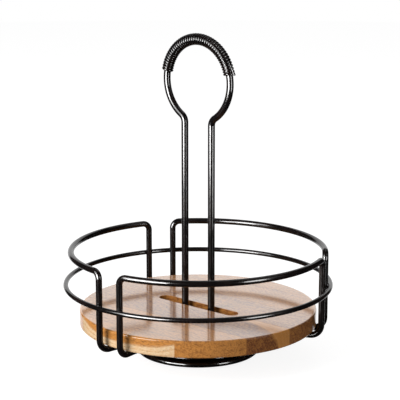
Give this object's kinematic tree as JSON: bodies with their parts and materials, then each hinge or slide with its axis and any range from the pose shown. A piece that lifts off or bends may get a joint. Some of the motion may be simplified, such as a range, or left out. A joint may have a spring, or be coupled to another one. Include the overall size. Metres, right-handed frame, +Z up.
{
  "type": "revolving condiment caddy",
  "caption": "Revolving condiment caddy: round glued wooden board inside a bent-wire rail on a stamped ball-bearing turntable, with an upright keyhole handle and coil grip.",
  "frame": {"origin": "centre of the underside, on the table below the pivot", "axes": "+Z up along the pivot; the handle lies in the XZ plane, and one gap in the rail faces -Y"},
  "size_m": [0.2978, 0.2978, 0.3559],
  "materials": {
    "black_enamel": "satin black baked enamel on steel wire and sheet",
    "acacia_wood": "satin clear varnish over glued acacia staves",
    "black_rubber": "matte moulded rubber",
    "zinc_steel": "zinc plated",
    "white_nylon": "natural moulded nylon",
    "polished_steel": "polished bearing steel"
  },
  "bodies": {
    "base": {"base_pan": "black_enamel", "rubber_feet": "black_rubber", "pivot_bush": "zinc_steel", "pivot_washer": "zinc_steel", "pivot_bolt": "zinc_steel", "pivot_nut": "zinc_steel"},
    "ball_race": {"ball_cage": "white_nylon", "bearing_balls": "polished_steel"},
    "carousel": {"turntable_plate": "black_enamel", "rail_wire_right": "black_enamel", "rail_wire_back": "black_enamel", "rail_wire_left": "black_enamel", "hoop_wire": "black_enamel", "handle_wire": "black_enamel", "handle_grip": "black_enamel"},
    "board": {"board_stave_front_1": "acacia_wood", "board_stave_front_2": "acacia_wood", "board_stave_front_3": "acacia_wood", "board_stave_back_1": "acacia_wood", "board_stave_back_2": "acacia_wood", "board_stave_back_3": "acacia_wood"}
  },
  "joints": [
    {"name": "turntable_spin", "type": "hinge", "parent": "base", "child": "carousel", "pos_m": [0, 0, 0.0279], "axis": [0, 0, 1], "continuous": true},
    {"name": "race_spin", "type": "hinge", "parent": "base", "child": "ball_race", "pos_m": [0, 0, 0.0234], "axis": [0, 0, 1], "continuous": true},
    {"name": "board_lift", "type": "slide", "parent": "carousel", "child": "board", "axis": [0, 0, 1], "range_m": [0, 0.34]}
  ],
  "couplings": [
    {"joint": "race_spin", "follows": "turntable_spin", "ratio": 0.5}
  ]
}
